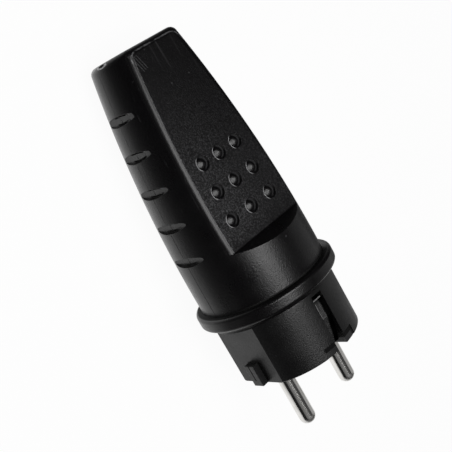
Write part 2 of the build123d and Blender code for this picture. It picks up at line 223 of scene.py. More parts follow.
def makeHandlingMarks():
    # hair lines from noise stretched along two directions, and pale specks of dust in some cells
    tree, given, result = newGroup("handlingMarks", ["Vector"], ["Lines", "Specks"], ["Lines", "Specks"])
    lines = []
    for turn in hairs["turns"]:
        mapping = put(tree, "ShaderNodeMapping", Vector=given["Vector"], Scale=hairs["stretch"],
                      Rotation=(hairs["lean"], turn, turn))
        streaks = noise(tree, mapping.outputs[0], given["Lines"], hairs["detail"])
        lines.append(ramp(tree, streaks, *hairs["cut"]))
    feed(tree, result["Lines"], greatest(tree, *lines))
    dots = put(tree, "ShaderNodeTexVoronoi", Vector=given["Vector"], Scale=given["Specks"])
    near = ramp(tree, dots.outputs["Distance"], *specks["edge"], 1.0, 0.0)
    chosen = sums(tree, "GREATER_THAN", axes(tree, dots.outputs["Color"])[0], specks["chosenAbove"])
    feed(tree, result["Specks"], product(tree, near, chosen))
    return tree


toolNoise = {"lineDetail": 2.0, "smear": (260.0, 3.0, 0.6)}


def makeToolLines():
    # lines that a tool leaves on metal: noise drawn out along the axes that Stretch makes small
    tree, given, result = newGroup("toolLines", ["Vector", "Stretch"], ["Pitch"], ["Height", "Smear"])
    mapping = put(tree, "ShaderNodeMapping", Vector=given["Vector"], Scale=given["Stretch"])
    feed(tree, result["Height"], noise(tree, mapping.outputs[0], given["Pitch"], toolNoise["lineDetail"]))
    feed(tree, result["Smear"], noise(tree, given["Vector"], *toolNoise["smear"]))
    return tree


mouldGrain = makeMouldGrain()
handlingMarks = makeHandlingMarks()
toolLines = makeToolLines()
print("surface effects ready")


# Materials

cloudSpan = (0.3, 0.7)  # where most of a cloud's values lie


def newMaterial(name):
    material = bpy.data.materials.new(name)
    material.use_nodes = True
    tree = material.node_tree
    return material, tree, tree.nodes["Principled BSDF"]


rubber = {
    "colour": (0.0036, 0.0033, 0.0037, 1),
    # pale colour of dust, also used for the painted highlight on the flat's rear edge and painted light in
    # the dimples' grooves
    "paleColour": (0.095, 0.095, 0.098, 1),
    "lipHighlightColour": (0.44, 0.44, 0.45, 1),  # painted highlights on the left lips of the dimples and on the front lip of the nick
    # painted shade in the crevice behind the flange, along the notches and in the nick
    "paintedShadeColour": (0.001, 0.001, 0.001, 1),
    "specular": 0.36,
    "roughness": (0.26, 0.34),  # from the polished to the duller patches
    "rearPolish": (10 * mm, 45 * mm, 1.0, 0.72),  # run behind the step, and shares of the roughness left
    "flatRoughness": 0.345,
    "ridgeRoughness": 0.33,  # rubbed smooth by hands
    "domeRoughness": 0.30,
    "paintedShadeRoughness": 0.75,
    "nickRoughness": 1.0,
    "grain": {"Fine": 3200.0, "Coarse": 2400.0, "Cloud": 120.0},
    "grainDepth": (0.042 * mm, 0.056 * mm),  # on the barrel and on the flats
    "ridgeGrain": 0.15,  # share of the grain left on the ridges
    "marks": {"Lines": 800.0, "Specks": 380.0},
    "paleShares": {
        "specks": 0.35, "lines": 0.08, "midLine": 0.20, "scratches": 0.42, "rearEdgeHighlight": 1.6, "grooveRightLight": 0.28,
    },
    "flat": {
        "stepX": -37.8 * mm,
        "stepEdge": (0.0, 0.3 * mm),
        "height": 13.2 * mm,  # at the step
        "slope": 0.06195,  # fall per length towards the rear
        "length": 56.5 * mm,
        "edge": (0.005 * mm, 0.06 * mm),  # depths below the flat's height over which it ends
    },
    "ridge": {"top": (0.01 * mm, 0.06 * mm), "foot": (0.7 * mm, 1.3 * mm)},  # depths below that height
    "flatPaleness": {
        "across": (-9 * mm, 9 * mm, 1.0, 0.4),  # lighter on the left
        "atStep": (0.0, 5 * mm, 0.4, 1.0),
        "noise": (2400.0, 4.0, 0.75),
        "patches": (0.44, 0.68),
    },
    "scratches": {
        "start": (-91.9 * mm, -7.2 * mm, 0),
        "turn": math.radians(15.0),
        "length": 4.2 * mm,
        "gap": 0.74 * mm,
        "reach": 1.4,  # gaps to each side of the middle one
        "halfWidth": 0.06 * mm,
        "depth": 0.04 * mm,
    },
    "midLine": {"y": 0.7 * mm, "halfWidth": 0.4 * mm, "fade": (-82.0 * mm, -90.0 * mm)},
    "nick": {
        "place": (-94.0 * mm, -12.0 * mm, 1.9 * mm),
        "halfAxes": (0.40 * mm, 0.80 * mm, 1.25 * mm),
        "noise": 2200.0,
        "ragged": 0.4,
        "edge": (1.0, 1.3),  # in half axes, as are the next two
        "lip": 1.7,
        "lipWidth": (0.1, 0.5),
        "depth": 0.35 * mm,
    },
    "dimples": {
        "first": -44.9 * mm,
        "rows": 3,
        "rowPitch": 8.05 * mm,
        "columnPitch": 7.4 * mm,  # in the first row
        "columnShrink": 0.6 * mm,  # less in each next row
        "radius": 1.9 * mm,
        "belowFlat": (1.0 * mm, 1.4 * mm),
        # painted highlights on the lips, on their left, and painted light in the right of the grooves
        "lipOut": 0.1 * mm,
        "lipWidth": (0.10 * mm, 0.24 * mm),
        "lipLeft": (-1.7 * mm, -0.9 * mm),
        "litRing": (0.9 * mm, 1.6 * mm),
        "litRight": (0.0, 1.0 * mm),
        "lean": 0.26,  # slope of the domes' middles to the left
        "domeTop": (0.3 * mm, 1.6 * mm),
    },
    # scuffed wear and a painted highlight along the flat's rear edge and round its corners
    "rearEdgeHighlight": {
        "rearEdge": -93.1 * mm,  # where the flat turns down to the rear face
        "halfWidth": 8.4 * mm,
        "corner": 2.6 * mm,  # radius of the flat's rear corners
        "line": (0.04 * mm, 0.26 * mm),
        "noise": (800.0, 3.0, 0.7),
        "broken": (0.34, 0.60),
        "belowFlat": (0.2 * mm, 0.5 * mm),
    },
    "crevice": {  # painted shade just behind the flange, out to the rounding of its edge
        "x": (-23.65 * mm, -23.45 * mm),
        "front": -22.8 * mm,
        "radius": (20.0 * mm, 20.5 * mm),
        "right": (11.5 * mm, 16.5 * mm),  # the painted shade thins out here
    },
    # painted shade along the edges of the side notches and in their mould lines
    "notchShade": {
        "inner": (0.58, 0.86),  # in half axes of the notch, as are the next two
        "outer": (1.02, 1.06),
        "crackEnd": 0.95,
        "middleZ": 0.8 * mm,
        "stretch": (1.5 * mm, 3.8 * mm),
        "rearward": (2 * mm, 32 * mm, 0.35, 1.0),  # run behind the step, and how strong
        "noise": 700.0,
        "broken": (0.30, 0.46),
        "crack": (0.08 * mm, 0.2 * mm, 0.6, 0.0),  # painted shade in the crease of the mould line across a notch
        "rowMargin": 2 * mm,
        "depth": 0.30 * mm,
    },
    "sliver": {  # where the normals of the mesh stray beside the left ridge
        "place": (-59.3 * mm, -13.25 * mm, 11.0 * mm),
        "halfAxes": (2.4 * mm, 0.5 * mm, 0.6 * mm),
        "edge": (0.8, 1.0),
        "belowFlat": (0.70 * mm, 0.76 * mm),
        "normal": (-0.092, -0.766, 0.636),
    },
}


def scratchMask(tree, plug):
    # hair scratches side by side near the rear corner of the upper flat: one lane, wrapped across
    mark = rubber["scratches"]
    local = about(tree, plug, mark["start"], Rotation=(0, 0, mark["turn"]))
    along, across, upward = axes(tree, local)
    half = mark["gap"] / 2
    lane = absolute(tree, sums(tree, "WRAP", across, half, -half))
    return product(
        tree,
        ramp(tree, lane, mark["halfWidth"], 2 * mark["halfWidth"], 1.0, 0.0),
        sums(tree, "LESS_THAN", absolute(tree, across), mark["reach"] * mark["gap"]),
        sums(tree, "COMPARE", along, mark["length"] / 2, mark["length"] / 2),
        sums(tree, "GREATER_THAN", upward, 0.0),
    )


def midLineMask(tree, x, y):  # a faint lighter line down the middle of the flat, from the rear edge
    mark = rubber["midLine"]
    across = ramp(tree, apart(tree, y, mark["y"]), 0.0, mark["halfWidth"], 1.0, 0.0)
    return product(tree, across, ramp(tree, x, *mark["fade"]))


def nickMasks(tree, plug):
    # a small nick in the rim of the rear end: a ragged ellipsoid of painted shade, with a painted highlight
    # on its front lip
    mark = rubber["nick"]
    local, distance = ellipsoid(tree, plug, mark["place"], mark["halfAxes"])
    ragged = sums(tree, "MULTIPLY_ADD", noise(tree, plug, mark["noise"]), mark["ragged"], distance)
    nick = ramp(tree, ragged, *mark["edge"], 1.0, 0.0)
    lip = ramp(tree, apart(tree, ragged, mark["lip"]), *mark["lipWidth"], 1.0, 0.0)
    return nick, product(tree, lip, sums(tree, "GREATER_THAN", axes(tree, local)[0], 0.0))


def dimpleDistances(tree, x, y):
    # from the nearest of the nine middles, by rounding to a row and a column: sideways, and straight
    mark = rubber["dimples"]
    row = sums(tree, "DIVIDE", sums(tree, "SUBTRACT", mark["first"], x), mark["rowPitch"])
    row = nearest(tree, row, 0.0, mark["rows"] - 1.0)
    columnPitch = sums(tree, "MULTIPLY_ADD", row, -mark["columnShrink"], mark["columnPitch"])
    column = nearest(tree, sums(tree, "DIVIDE", y, columnPitch), -1.0, 1.0)
    forward = sums(tree, "ADD", x, sums(tree, "MULTIPLY_ADD", row, mark["rowPitch"], -mark["first"]))
    sideways = sums(tree, "SUBTRACT", y, product(tree, column, columnPitch))
    return sideways, hypotenuse(tree, forward, sideways)


def rearEdgeHighlightMask(tree, plug, x, y):
    # scuffed wear and a painted highlight along the rear edge of the flat: near the outline of a rectangle
    # with rounded rear corners
    mark = rubber["rearEdgeHighlight"]
    aside = sums(tree, "SUBTRACT", absolute(tree, y), mark["halfWidth"] - mark["corner"])
    past = sums(tree, "SUBTRACT", mark["rearEdge"] + mark["corner"], x)
    reach = hypotenuse(tree, greatest(tree, aside, 0.0), greatest(tree, past, 0.0))
    return product(
        tree,
        ramp(tree, apart(tree, reach, mark["corner"]), *mark["line"], 1.0, 0.0),
        sums(tree, "GREATER_THAN", past, 0.0),
        ramp(tree, noise(tree, plug, *mark["noise"]), *mark["broken"]),
    )


def creviceMask(tree, x, y, z):  # painted shade in the crevice behind the flange
    mark = rubber["crevice"]
    return product(
        tree,
        ramp(tree, x, *mark["x"]),
        ramp(tree, hypotenuse(tree, y, z), *mark["radius"], 1.0, 0.0),
        sums(tree, "LESS_THAN", x, mark["front"]),
        ramp(tree, y, *mark["right"], 1.0, 0.0),
    )


def notchShadeMask(tree, plug, x, z, behind):
    # painted shade along the edges of the side notches and in the mould line across them: with x taken from
    # the nearest notch, (x / half width)^2 + (z / half length)^2 is 1 on a notch's outline
    mark = rubber["notchShade"]
    half = grip["notchPitch"] / 2
    fromNotch = sums(tree, "WRAP", sums(tree, "SUBTRACT", x, grip["firstNotch"]), half, -half)
    acrossNotch = sums(tree, "DIVIDE", fromNotch, grip["notchWidth"] / 2)
    alongNotch = sums(tree, "DIVIDE", z, grip["notchLength"] / 2)
    outline = hypotenuse(tree, alongNotch, acrossNotch)
    edge = product(
        tree,
        ramp(tree, outline, *mark["inner"]),
        ramp(tree, outline, *mark["outer"], 1.0, 0.0),
        ramp(tree, apart(tree, z, mark["middleZ"]), *mark["stretch"], 1.0, 0.0),
        ramp(tree, behind, *mark["rearward"]),
        ramp(tree, noise(tree, plug, mark["noise"]), *mark["broken"]),
    )
    crack = ramp(tree, absolute(tree, z), *mark["crack"])
    crack = product(tree, crack, sums(tree, "LESS_THAN", outline, mark["crackEnd"]))
    halfRow = (grip["notchCount"] - 1) * half
    inRow = sums(tree, "COMPARE", x, grip["firstNotch"] - halfRow, halfRow + mark["rowMargin"])
    return product(tree, greatest(tree, edge, crack), inRow)


def steadyNormal(tree, plug, below):  # the barrel's own normal in place of the mesh's on the stray sliver
    mark = rubber["sliver"]
    distance = ellipsoid(tree, plug, mark["place"], mark["halfAxes"])[1]
    stray = ramp(tree, distance, *mark["edge"], 1.0, 0.0)
    stray = product(tree, stray, ramp(tree, below, *mark["belowFlat"]))
    meshNormal = put(tree, "ShaderNodeNewGeometry").outputs["Normal"]
    return blendVectors(tree, stray, meshNormal, plugToRow.to_3x3() @ Vector(mark["normal"]))


def makeRubber():
    look = rubber
    flat, ridge, dimples = look["flat"], look["ridge"], look["dimples"]
    material, tree, shader = newMaterial("blackRubber")
    plug = plugCoordinates(tree)
    x, y, z = axes(tree, plug)
    grain = useGroup(tree, mouldGrain, Vector=plug, **look["grain"])
    marks = useGroup(tree, handlingMarks, Vector=plug, **look["marks"])
    # on the flats: |z| reaches the flat's height, which falls to the rear, and x lies behind the step
    behind = sums(tree, "SUBTRACT", flat["stepX"], x)
    height = sums(tree, "MULTIPLY_ADD", behind, -flat["slope"], flat["height"])
    below = sums(tree, "SUBTRACT", height, absolute(tree, z))
    pastStep = ramp(tree, behind, *flat["stepEdge"])
    onFlat = product(tree, ramp(tree, below, *flat["edge"], 1.0, 0.0), pastStep)
    # dimples: painted highlights on their lips on the left, and painted light in the right of their grooves
    sideways, fromMiddle = dimpleDistances(tree, x, y)
    byFlat = product(tree, ramp(tree, below, *dimples["belowFlat"], 1.0, 0.0), pastStep)
    inDimple = product(tree, sums(tree, "LESS_THAN", fromMiddle, dimples["radius"]), byFlat)
    fromLip = apart(tree, fromMiddle, dimples["radius"] + dimples["lipOut"])
    lip = product(
        tree,
        ramp(tree, fromLip, *dimples["lipWidth"], 1.0, 0.0),
        byFlat,
        ramp(tree, sideways, *dimples["lipLeft"], 1.0, 0.0),
    )
    grooveRightLight = product(
        tree,
        ramp(tree, fromMiddle, *dimples["litRing"]),
        inDimple,
        ramp(tree, sideways, *dimples["litRight"]),
    )
    # ridges beside the flats: the band of the rounding just below the flat's height
    onRidge = product(
        tree,
        ramp(tree, below, *ridge["top"]),
        ramp(tree, below, *ridge["foot"], 1.0, 0.0),
        pastStep,
        sums(tree, "SUBTRACT", 1.0, inDimple),
    )
    # lighter patches in the grain of the flats, most among the dimples and on the left, fading to the rear
    paleness = look["flatPaleness"]
    lighterTone = product(
        tree,
        onFlat,
        ramp(tree, behind, 0.0, flat["length"], 1.0, 0.0),
        ramp(tree, y, *paleness["across"]),
        ramp(tree, behind, *paleness["atStep"]),
        ramp(tree, noise(tree, plug, *paleness["noise"]), *paleness["patches"]),
    )
    # wear, with painted highlights and painted shade
    scratches = scratchMask(tree, plug)
    midLine = product(tree, midLineMask(tree, x, y), onFlat)
    nick, nickLip = nickMasks(tree, plug)
    rearEdgeHighlight = rearEdgeHighlightMask(tree, plug, x, y)
    rearEdgeHighlight = product(tree, rearEdgeHighlight, ramp(tree, below, *look["rearEdgeHighlight"]["belowFlat"], 1.0, 0.0))
    notchShade = notchShadeMask(tree, plug, x, z, behind)
    paintedShade = greatest(tree, creviceMask(tree, x, y, z), notchShade)
    # colour: black rubber with dust and pale patches, painted highlights on the rear edge and the lips,
    # painted light in the dimples' grooves, and painted shade on top
    shares = look["paleShares"]
    paleMarks = greatest(
        tree,
        lighterTone,
        product(tree, marks["Specks"], ramp(tree, onRidge, 0.0, 1.0, shares["specks"], 0.0)),
        product(tree, marks["Lines"], shares["lines"]),
        product(tree, midLine, shares["midLine"]),
        product(tree, scratches, shares["scratches"]),
        product(tree, rearEdgeHighlight, shares["rearEdgeHighlight"]),
        product(tree, grooveRightLight, shares["grooveRightLight"]),
    )
    colour = blendColours(tree, paleMarks, look["colour"], look["paleColour"])
    colour = blendColours(tree, greatest(tree, lip, nickLip), colour, look["lipHighlightColour"])
    colour = blendColours(tree, greatest(tree, nick, paintedShade), colour, look["paintedShadeColour"])
    feed(tree, shader.inputs["Base Color"], colour)
    shader.inputs["Specular IOR Level"].default_value = look["specular"]
    rough = ramp(tree, grain["Finish"], *cloudSpan, *look["roughness"])
    rough = product(tree, rough, ramp(tree, behind, *look["rearPolish"]))
    rough = blendValues(tree, onFlat, rough, look["flatRoughness"])
    rough = blendValues(tree, onRidge, rough, look["ridgeRoughness"])
    rough = blendValues(tree, inDimple, rough, look["domeRoughness"])
    rough = blendValues(tree, paintedShade, rough, look["paintedShadeRoughness"])
    feed(tree, shader.inputs["Roughness"], blendValues(tree, nick, rough, look["nickRoughness"]))
    # relief: grain, rubbed away on the ridges, with leaning domes, and with scratches, nick and the
    # painted-shade lines of the notches cut in
    depth = ramp(tree, onFlat, 0.0, 1.0, *look["grainDepth"])
    depth = product(tree, depth, ramp(tree, onRidge, 0.0, 1.0, 1.0, look["ridgeGrain"]))
    relief = product(tree, grain["Height"], depth)
    dome = product(tree, sideways, ramp(tree, fromMiddle, *dimples["domeTop"], 1.0, 0.0), byFlat)
    relief = sums(tree, "MULTIPLY_ADD", dome, dimples["lean"], relief)
    relief = sums(tree, "MULTIPLY_ADD", scratches, -look["scratches"]["depth"], relief)
    relief = sums(tree, "MULTIPLY_ADD", nick, -look["nick"]["depth"], relief)
    relief = sums(tree, "MULTIPLY_ADD", notchShade, -look["notchShade"]["depth"], relief)
    addRelief(tree, shader, relief, Normal=steadyNormal(tree, plug, below))
    return material


nosePlastic = {
    "colour": (0.0045, 0.0044, 0.0046, 1),
    "paleColour": (0.04, 0.04, 0.042, 1),
    "paintedShadeColour": (0.001, 0.001, 0.001, 1),
    "specular": 0.33,
    "roughness": (0.33, 0.41),
    "paintedShadeRoughness": 1.0,
    "grain": {"Fine": 3600.0, "Coarse": 2600.0, "Cloud": 160.0},
    "grainDepth": 0.047 * mm,
    "marks": {"Lines": 900.0, "Specks": 520.0},
    "paleShares": {"lines": 0.3, "all": 0.5},
    "recess": {  # floors of the front recesses, with painted light on them and painted shade on their rear stretch
        "rear": -3.0 * mm,
        "radius": 18.0 * mm,
        "halfWidth": 6.2 * mm,
        "colour": (0.017, 0.017, 0.0175, 1),
        "roughness": 0.30,
        "paintedShade": (-1.7 * mm, -1.5 * mm),  # painted shade on the rear stretch of those floors
    },
    "groove": {  # the fine groove down the middle of each lug's face, with painted shade in it
        "y": 17.9 * mm,
        "front": -1.7 * mm,
        "halfWidth": 0.14 * mm,
        "depth": 0.15 * mm,
    },
    "lug": {
        "rear": -6.4 * mm,
        "halfWidth": 1.9 * mm,
        "foot": (0.10 * mm, 0.45 * mm),  # reach of the painted shade round the lugs
        "footY": 15.9 * mm,
        "wall": (17.3 * mm, 17.7 * mm, 0.8, 0.0),  # reach of the painted shade up their walls, and how strong
    },
}


def makeNosePlastic():
    look = nosePlastic
    recess, groove, lug = look["recess"], look["groove"], look["lug"]
    material, tree, shader = newMaterial("nosePlastic")
    plug = plugCoordinates(tree)
    x, y, z = axes(tree, plug)
    outward = absolute(tree, y)
    fromMiddle = absolute(tree, z)
    grain = useGroup(tree, mouldGrain, Vector=plug, **look["grain"])
    marks = useGroup(tree, handlingMarks, Vector=plug, **look["marks"])
    # floors of the front recesses: ahead of their rear walls, inside the round of the nose, near its middle
    inRecess = product(
        tree,
        sums(tree, "LESS_THAN", hypotenuse(tree, y, z), recess["radius"]),
        sums(tree, "GREATER_THAN", x, recess["rear"]),
        sums(tree, "LESS_THAN", outward, recess["halfWidth"]),
    )
    grained = sums(tree, "SUBTRACT", 1.0, inRecess)
    # groove on the lugs: a narrow band about z = 0 on their outer faces, with painted shade in it
    inGroove = product(
        tree,
        ramp(tree, fromMiddle, groove["halfWidth"], 2 * groove["halfWidth"], 1.0, 0.0),
        sums(tree, "GREATER_THAN", outward, groove["y"]),
        sums(tree, "LESS_THAN", x, groove["front"]),
    )
    # painted shade at the foot of the lugs: near their outline on the guide flats, and up their walls
    outsideX = sums(tree, "SUBTRACT", lug["rear"], x)
    outsideZ = sums(tree, "SUBTRACT", fromMiddle, lug["halfWidth"])
    foot = product(
        tree,
        ramp(tree, greatest(tree, outsideX, outsideZ), *lug["foot"], 1.0, 0.0),
        sums(tree, "GREATER_THAN", outward, lug["footY"]),
        ramp(tree, outward, *lug["wall"]),
    )
    recessShade = product(tree, ramp(tree, x, *recess["paintedShade"], 1.0, 0.0), inRecess)
    # painted shade: in the lug grooves, on the rear stretch of the recess floors and round the feet of the
    # lugs
    paintedShade = greatest(tree, inGroove, recessShade, foot)
    shares = look["paleShares"]
    paleMarks = greatest(tree, product(tree, marks["Lines"], shares["lines"]), marks["Specks"])
    paleMarks = product(tree, paleMarks, shares["all"], grained)
    colour = blendColours(tree, paleMarks, look["colour"], look["paleColour"])
    # painted light: a lighter tone on the recess floors
    colour = blendColours(tree, inRecess, colour, recess["colour"])
    feed(tree, shader.inputs["Base Color"], blendColours(tree, paintedShade, colour, look["paintedShadeColour"]))
    shader.inputs["Specular IOR Level"].default_value = look["specular"]
    rough = ramp(tree, grain["Finish"], *cloudSpan, *look["roughness"])
    rough = blendValues(tree, inRecess, rough, recess["roughness"])
    feed(tree, shader.inputs["Roughness"], blendValues(tree, paintedShade, rough, look["paintedShadeRoughness"]))
    relief = product(tree, grain["Height"], look["grainDepth"], grained)
    addRelief(tree, shader, sums(tree, "MULTIPLY_ADD", inGroove, -groove["depth"], relief))
    return material


innerPlastic = {
    "colour": (0.42, 0.40, 0.36, 1),
    "shade": (0.36, 0.34, 0.30, 1),
    "roughness": (0.42, 0.56),
    "grain": {"Fine": 2600.0, "Coarse": 1200.0, "Cloud": 140.0},
    "grainDepth": 0.014 * mm,
}


def makeInnerPlastic():
    look = innerPlastic
    material, tree, shader = newMaterial("innerPlastic")
    grain = useGroup(tree, mouldGrain, Vector=plugCoordinates(tree), **look["grain"])
    colour = blendColours(tree, ramp(tree, grain["Finish"], *cloudSpan), look["colour"], look["shade"])
    feed(tree, shader.inputs["Base Color"], colour)
    feed(tree, shader.inputs["Roughness"], ramp(tree, grain["Finish"], *cloudSpan, *look["roughness"]))
    addRelief(tree, shader, product(tree, grain["Height"], look["grainDepth"]))
    return material


metals = {
    "brightNickel": {  # the pins, with fine lines along them
        "colour": (0.80, 0.79, 0.77, 1), "shade": (0.70, 0.69, 0.66, 1), "roughness": (0.14, 0.18),
        "stretch": (0.01, 1.0, 1.0), "pitch": 2600.0, "lineDepth": 0.0006 * mm, "overlay": "tip",
    },
    "stripNickel": {  # the earth strip, with painted shade along one half and painted highlight lines
        "colour": (0.74, 0.74, 0.74, 1), "shade": (0.58, 0.58, 0.58, 1), "roughness": (0.16, 0.30),
        "stretch": (0.03, 1.0, 1.0), "pitch": 3000.0, "lineDepth": 0.003 * mm, "overlay": "stripShadeAndHighlight",
    },
    "zincSteel": {  # the screws and the washer
        "colour": (0.62, 0.62, 0.60, 1), "shade": (0.50, 0.50, 0.47, 1), "roughness": (0.26, 0.42),
        "stretch": (1.0, 0.02, 0.02), "pitch": 3800.0, "lineDepth": 0.003 * mm, "overlay": None,
    },
}
smearSpans = {"colour": (0.35, 0.70), "roughness": (0.3, 0.75)}
pinTip = {"scuffed": (16.2 * mm, 17.6 * mm), "roughness": 0.42}  # along x, over the dome
stripShadeAndHighlight = {
    "colour": (0.02, 0.02, 0.02, 1),
    "noise": (2600.0, 3.0),
    "ragged": 0.6 * mm,
    "edge": (0.10 * mm, 0.70 * mm),
    "bendX": -15.05 * mm,  # the painted highlight line across the bend at the rear end of the slot
    "sideY": -1.65 * mm,  # and the painted highlight along the strip's edge
    "lineWidth": (0.07 * mm, 0.16 * mm),
    "sideShare": 0.5,
    "lighterTone": (0.95, 0.95, 0.95, 1),
    "highlightLineRoughness": 0.6,
}


def makeMetal(name):
    look = metals[name]
    material, tree, shader = newMaterial(name)
    plug = plugCoordinates(tree)
    lines = useGroup(tree, toolLines, Vector=plug, Stretch=look["stretch"], Pitch=look["pitch"])
    smear = ramp(tree, lines["Smear"], *smearSpans["colour"])
    colour = blendColours(tree, smear, look["colour"], look["shade"])
    rough = ramp(tree, lines["Smear"], *smearSpans["roughness"], *look["roughness"])
    x, y = axes(tree, plug)[:2]
    if look["overlay"] == "tip":  # duller over the dome
        rough = blendValues(tree, ramp(tree, x, *pinTip["scuffed"]), rough, pinTip["roughness"])
    if look["overlay"] == "stripShadeAndHighlight":  # painted shade: black where y passes a ragged edge; painted highlights: bright on two lines
        speckle = noise(tree, plug, *stripShadeAndHighlight["noise"])
        ragged = sums(tree, "MULTIPLY_ADD", speckle, stripShadeAndHighlight["ragged"], y)
        colour = blendColours(tree, ramp(tree, ragged, *stripShadeAndHighlight["edge"]), colour, stripShadeAndHighlight["colour"])
        paintedHighlight = greatest(
            tree,
            ramp(tree, apart(tree, x, stripShadeAndHighlight["bendX"]), *stripShadeAndHighlight["lineWidth"], 1.0, 0.0),
            ramp(tree, apart(tree, y, stripShadeAndHighlight["sideY"]), *stripShadeAndHighlight["lineWidth"], stripShadeAndHighlight["sideShare"], 0.0),
        )
        colour = blendColours(tree, paintedHighlight, colour, stripShadeAndHighlight["lighterTone"])
        rough = blendValues(tree, paintedHighlight, rough, stripShadeAndHighlight["highlightLineRoughness"])
    feed(tree, shader.inputs["Base Color"], colour)
    feed(tree, shader.inputs["Roughness"], rough)
    shader.inputs["Metallic"].default_value = 1.0
    addRelief(tree, shader, product(tree, lines["Height"], look["lineDepth"]))
    return material


blackRubberMaterial = makeRubber()
nosePlasticMaterial = makeNosePlastic()
innerPlasticMaterial = makeInnerPlastic()
brightNickelMaterial = makeMetal("brightNickel")
stripNickelMaterial = makeMetal("stripNickel")
zincSteelMaterial = makeMetal("zincSteel")
finishes = {
    blackRubberMaterial: ["rubber_housing"],
    nosePlasticMaterial: ["contact_carrier"],
    innerPlasticMaterial: ["terminal_cover", "cord_clamp"],
    brightNickelMaterial: ["live_pin", "neutral_pin"],
    stripNickelMaterial: ["earth_bow"],
    zincSteelMaterial: [
        "terminal_screws", "earth_screw", "earth_washer", "centre_screw", "cord_clamp_screws",
    ],
}
for finish, names in finishes.items():
    for name in names:
        materials = frame["nodes"][name].data.materials
        materials.clear()
        materials.append(finish)
print("materials set on", sum(len(names) for names in finishes.values()), "nodes")


# Mould seam: thin ridges along the sides of the grip, where the two halves of a mould met

seam = {
    "width": 0.30 * mm,
    "height": 0.06 * mm,
    "rearShare": 0.3,  # its height at the rear end, as a share of that at the flange
    "sunk": 0.05 * mm,
    "endRun": 0.6 * mm,
    "endPower": 0.5,
    "around": 13,
    "pitch": 0.5 * mm,
    "fewest": 6,  # rings along a run
    "weld": 0.001 * mm,
}


def gripRadius(x):  # straight behind the flange, then one long arc that falls to the rear radius
    run = np.maximum(grip["flangeRear"] - grip["straight"] - x, 0.0)
    arcRun = grip["length"] - grip["straight"]
    drop = grip["frontRadius"] - grip["rearRadius"]
    arc = (arcRun**2 + drop**2) / (2 * drop)
    return grip["frontRadius"] - (arc - np.sqrt(arc**2 - run**2))


def ridgeSurface(start, end, side):
    # closed lens profile carried along x on the side of the plug: a half wave above the surface,
    # lower towards the rear, a shallow arc sunk below it, both drawn to a point at the two ends
    count = max(int(abs(end - start) / seam["pitch"]), seam["fewest"])
    x = np.linspace(start, end, count)
    inset = np.minimum(np.abs(x - start), np.abs(end - x)) / seam["endRun"]
    swell = np.clip(inset, 0.0, 1.0) ** seam["endPower"]
    angle = np.linspace(0.0, 2 * np.pi, 2 * seam["around"], endpoint=False)
    across = np.cos(angle) * seam["width"] / 2
    height = seam["height"] * (1 - (1 - seam["rearShare"]) * (grip["flangeRear"] - x) / grip["length"])
    rise = np.where(np.sin(angle) > 0, np.sin(angle) * height[:, None], np.sin(angle) * seam["sunk"])
    points = np.empty((count, len(angle), 3))
    points[..., 0] = x[:, None]
    points[..., 1] = side * (gripRadius(x)[:, None] + swell[:, None] * rise)
    points[..., 2] = swell[:, None] * across
    return points


def closeTube(grids):
    # quads between neighbouring rings of each tube, wrapped round the ring
    points, faces, first = [], [], 0
    for grid in grids:
        rows, columns = grid.shape[:2]
        index = np.arange(rows * columns).reshape(rows, columns) + first
        beside = np.roll(index, -1, axis=1)
        quads = np.stack([index[:-1], beside[:-1], beside[1:], index[1:]], axis=-1)
        points.append(grid.reshape(-1, 3))
        faces.append(quads.reshape(-1, 4))
        first += rows * columns
    return np.concatenate(points), np.concatenate(faces)


def addPiece(name, points, faces, material, slot):
    place = np.array(plugToRow)
    placed = points @ place[:3, :3].T + place[:3, 3]
    mesh = bpy.data.meshes.new(name)
    mesh.from_pydata(placed.tolist(), [], faces.tolist())
    mesh.validate()
    piece = bpy.data.objects.new(name, mesh)
    bpy.context.scene.collection.objects.link(piece)
    merge = piece.modifiers.new("closeEnds", "WELD")
    merge.merge_threshold = seam["weld"]
    mesh.materials.append(material)
    mesh.shade_smooth()
    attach(piece, "root")


def gripSeamRuns():  # stretches of the side between the flange, the notches and the rear round
    half = grip["notchWidth"] / 2
    centres = [grip["firstNotch"] - index * grip["notchPitch"] for index in range(grip["notchCount"])]
    starts = [grip["flangeRear"]] + [centre - half for centre in centres]
    rear = grip["flangeRear"] - grip["length"] + grip["rearRound"]
    ends = [centre + half for centre in centres] + [rear]
    return list(zip(starts, ends))


def facing(grids, side):  # rings run the other way on the far side, so that faces point outwards
    return [grid[:, ::-1] if side > 0 else grid for grid in grids]


gripRidges = []
for side in (-1, 1):
    runs = [ridgeSurface(*run, side) for run in gripSeamRuns()]
    gripRidges += facing(runs, side)
addPiece("grip_mould_seam", *closeTube(gripRidges), blackRubberMaterial, "black_rubber")
print("mould seam added")


# Stage: pale floor, a wide soft box above with dim cards, dark room

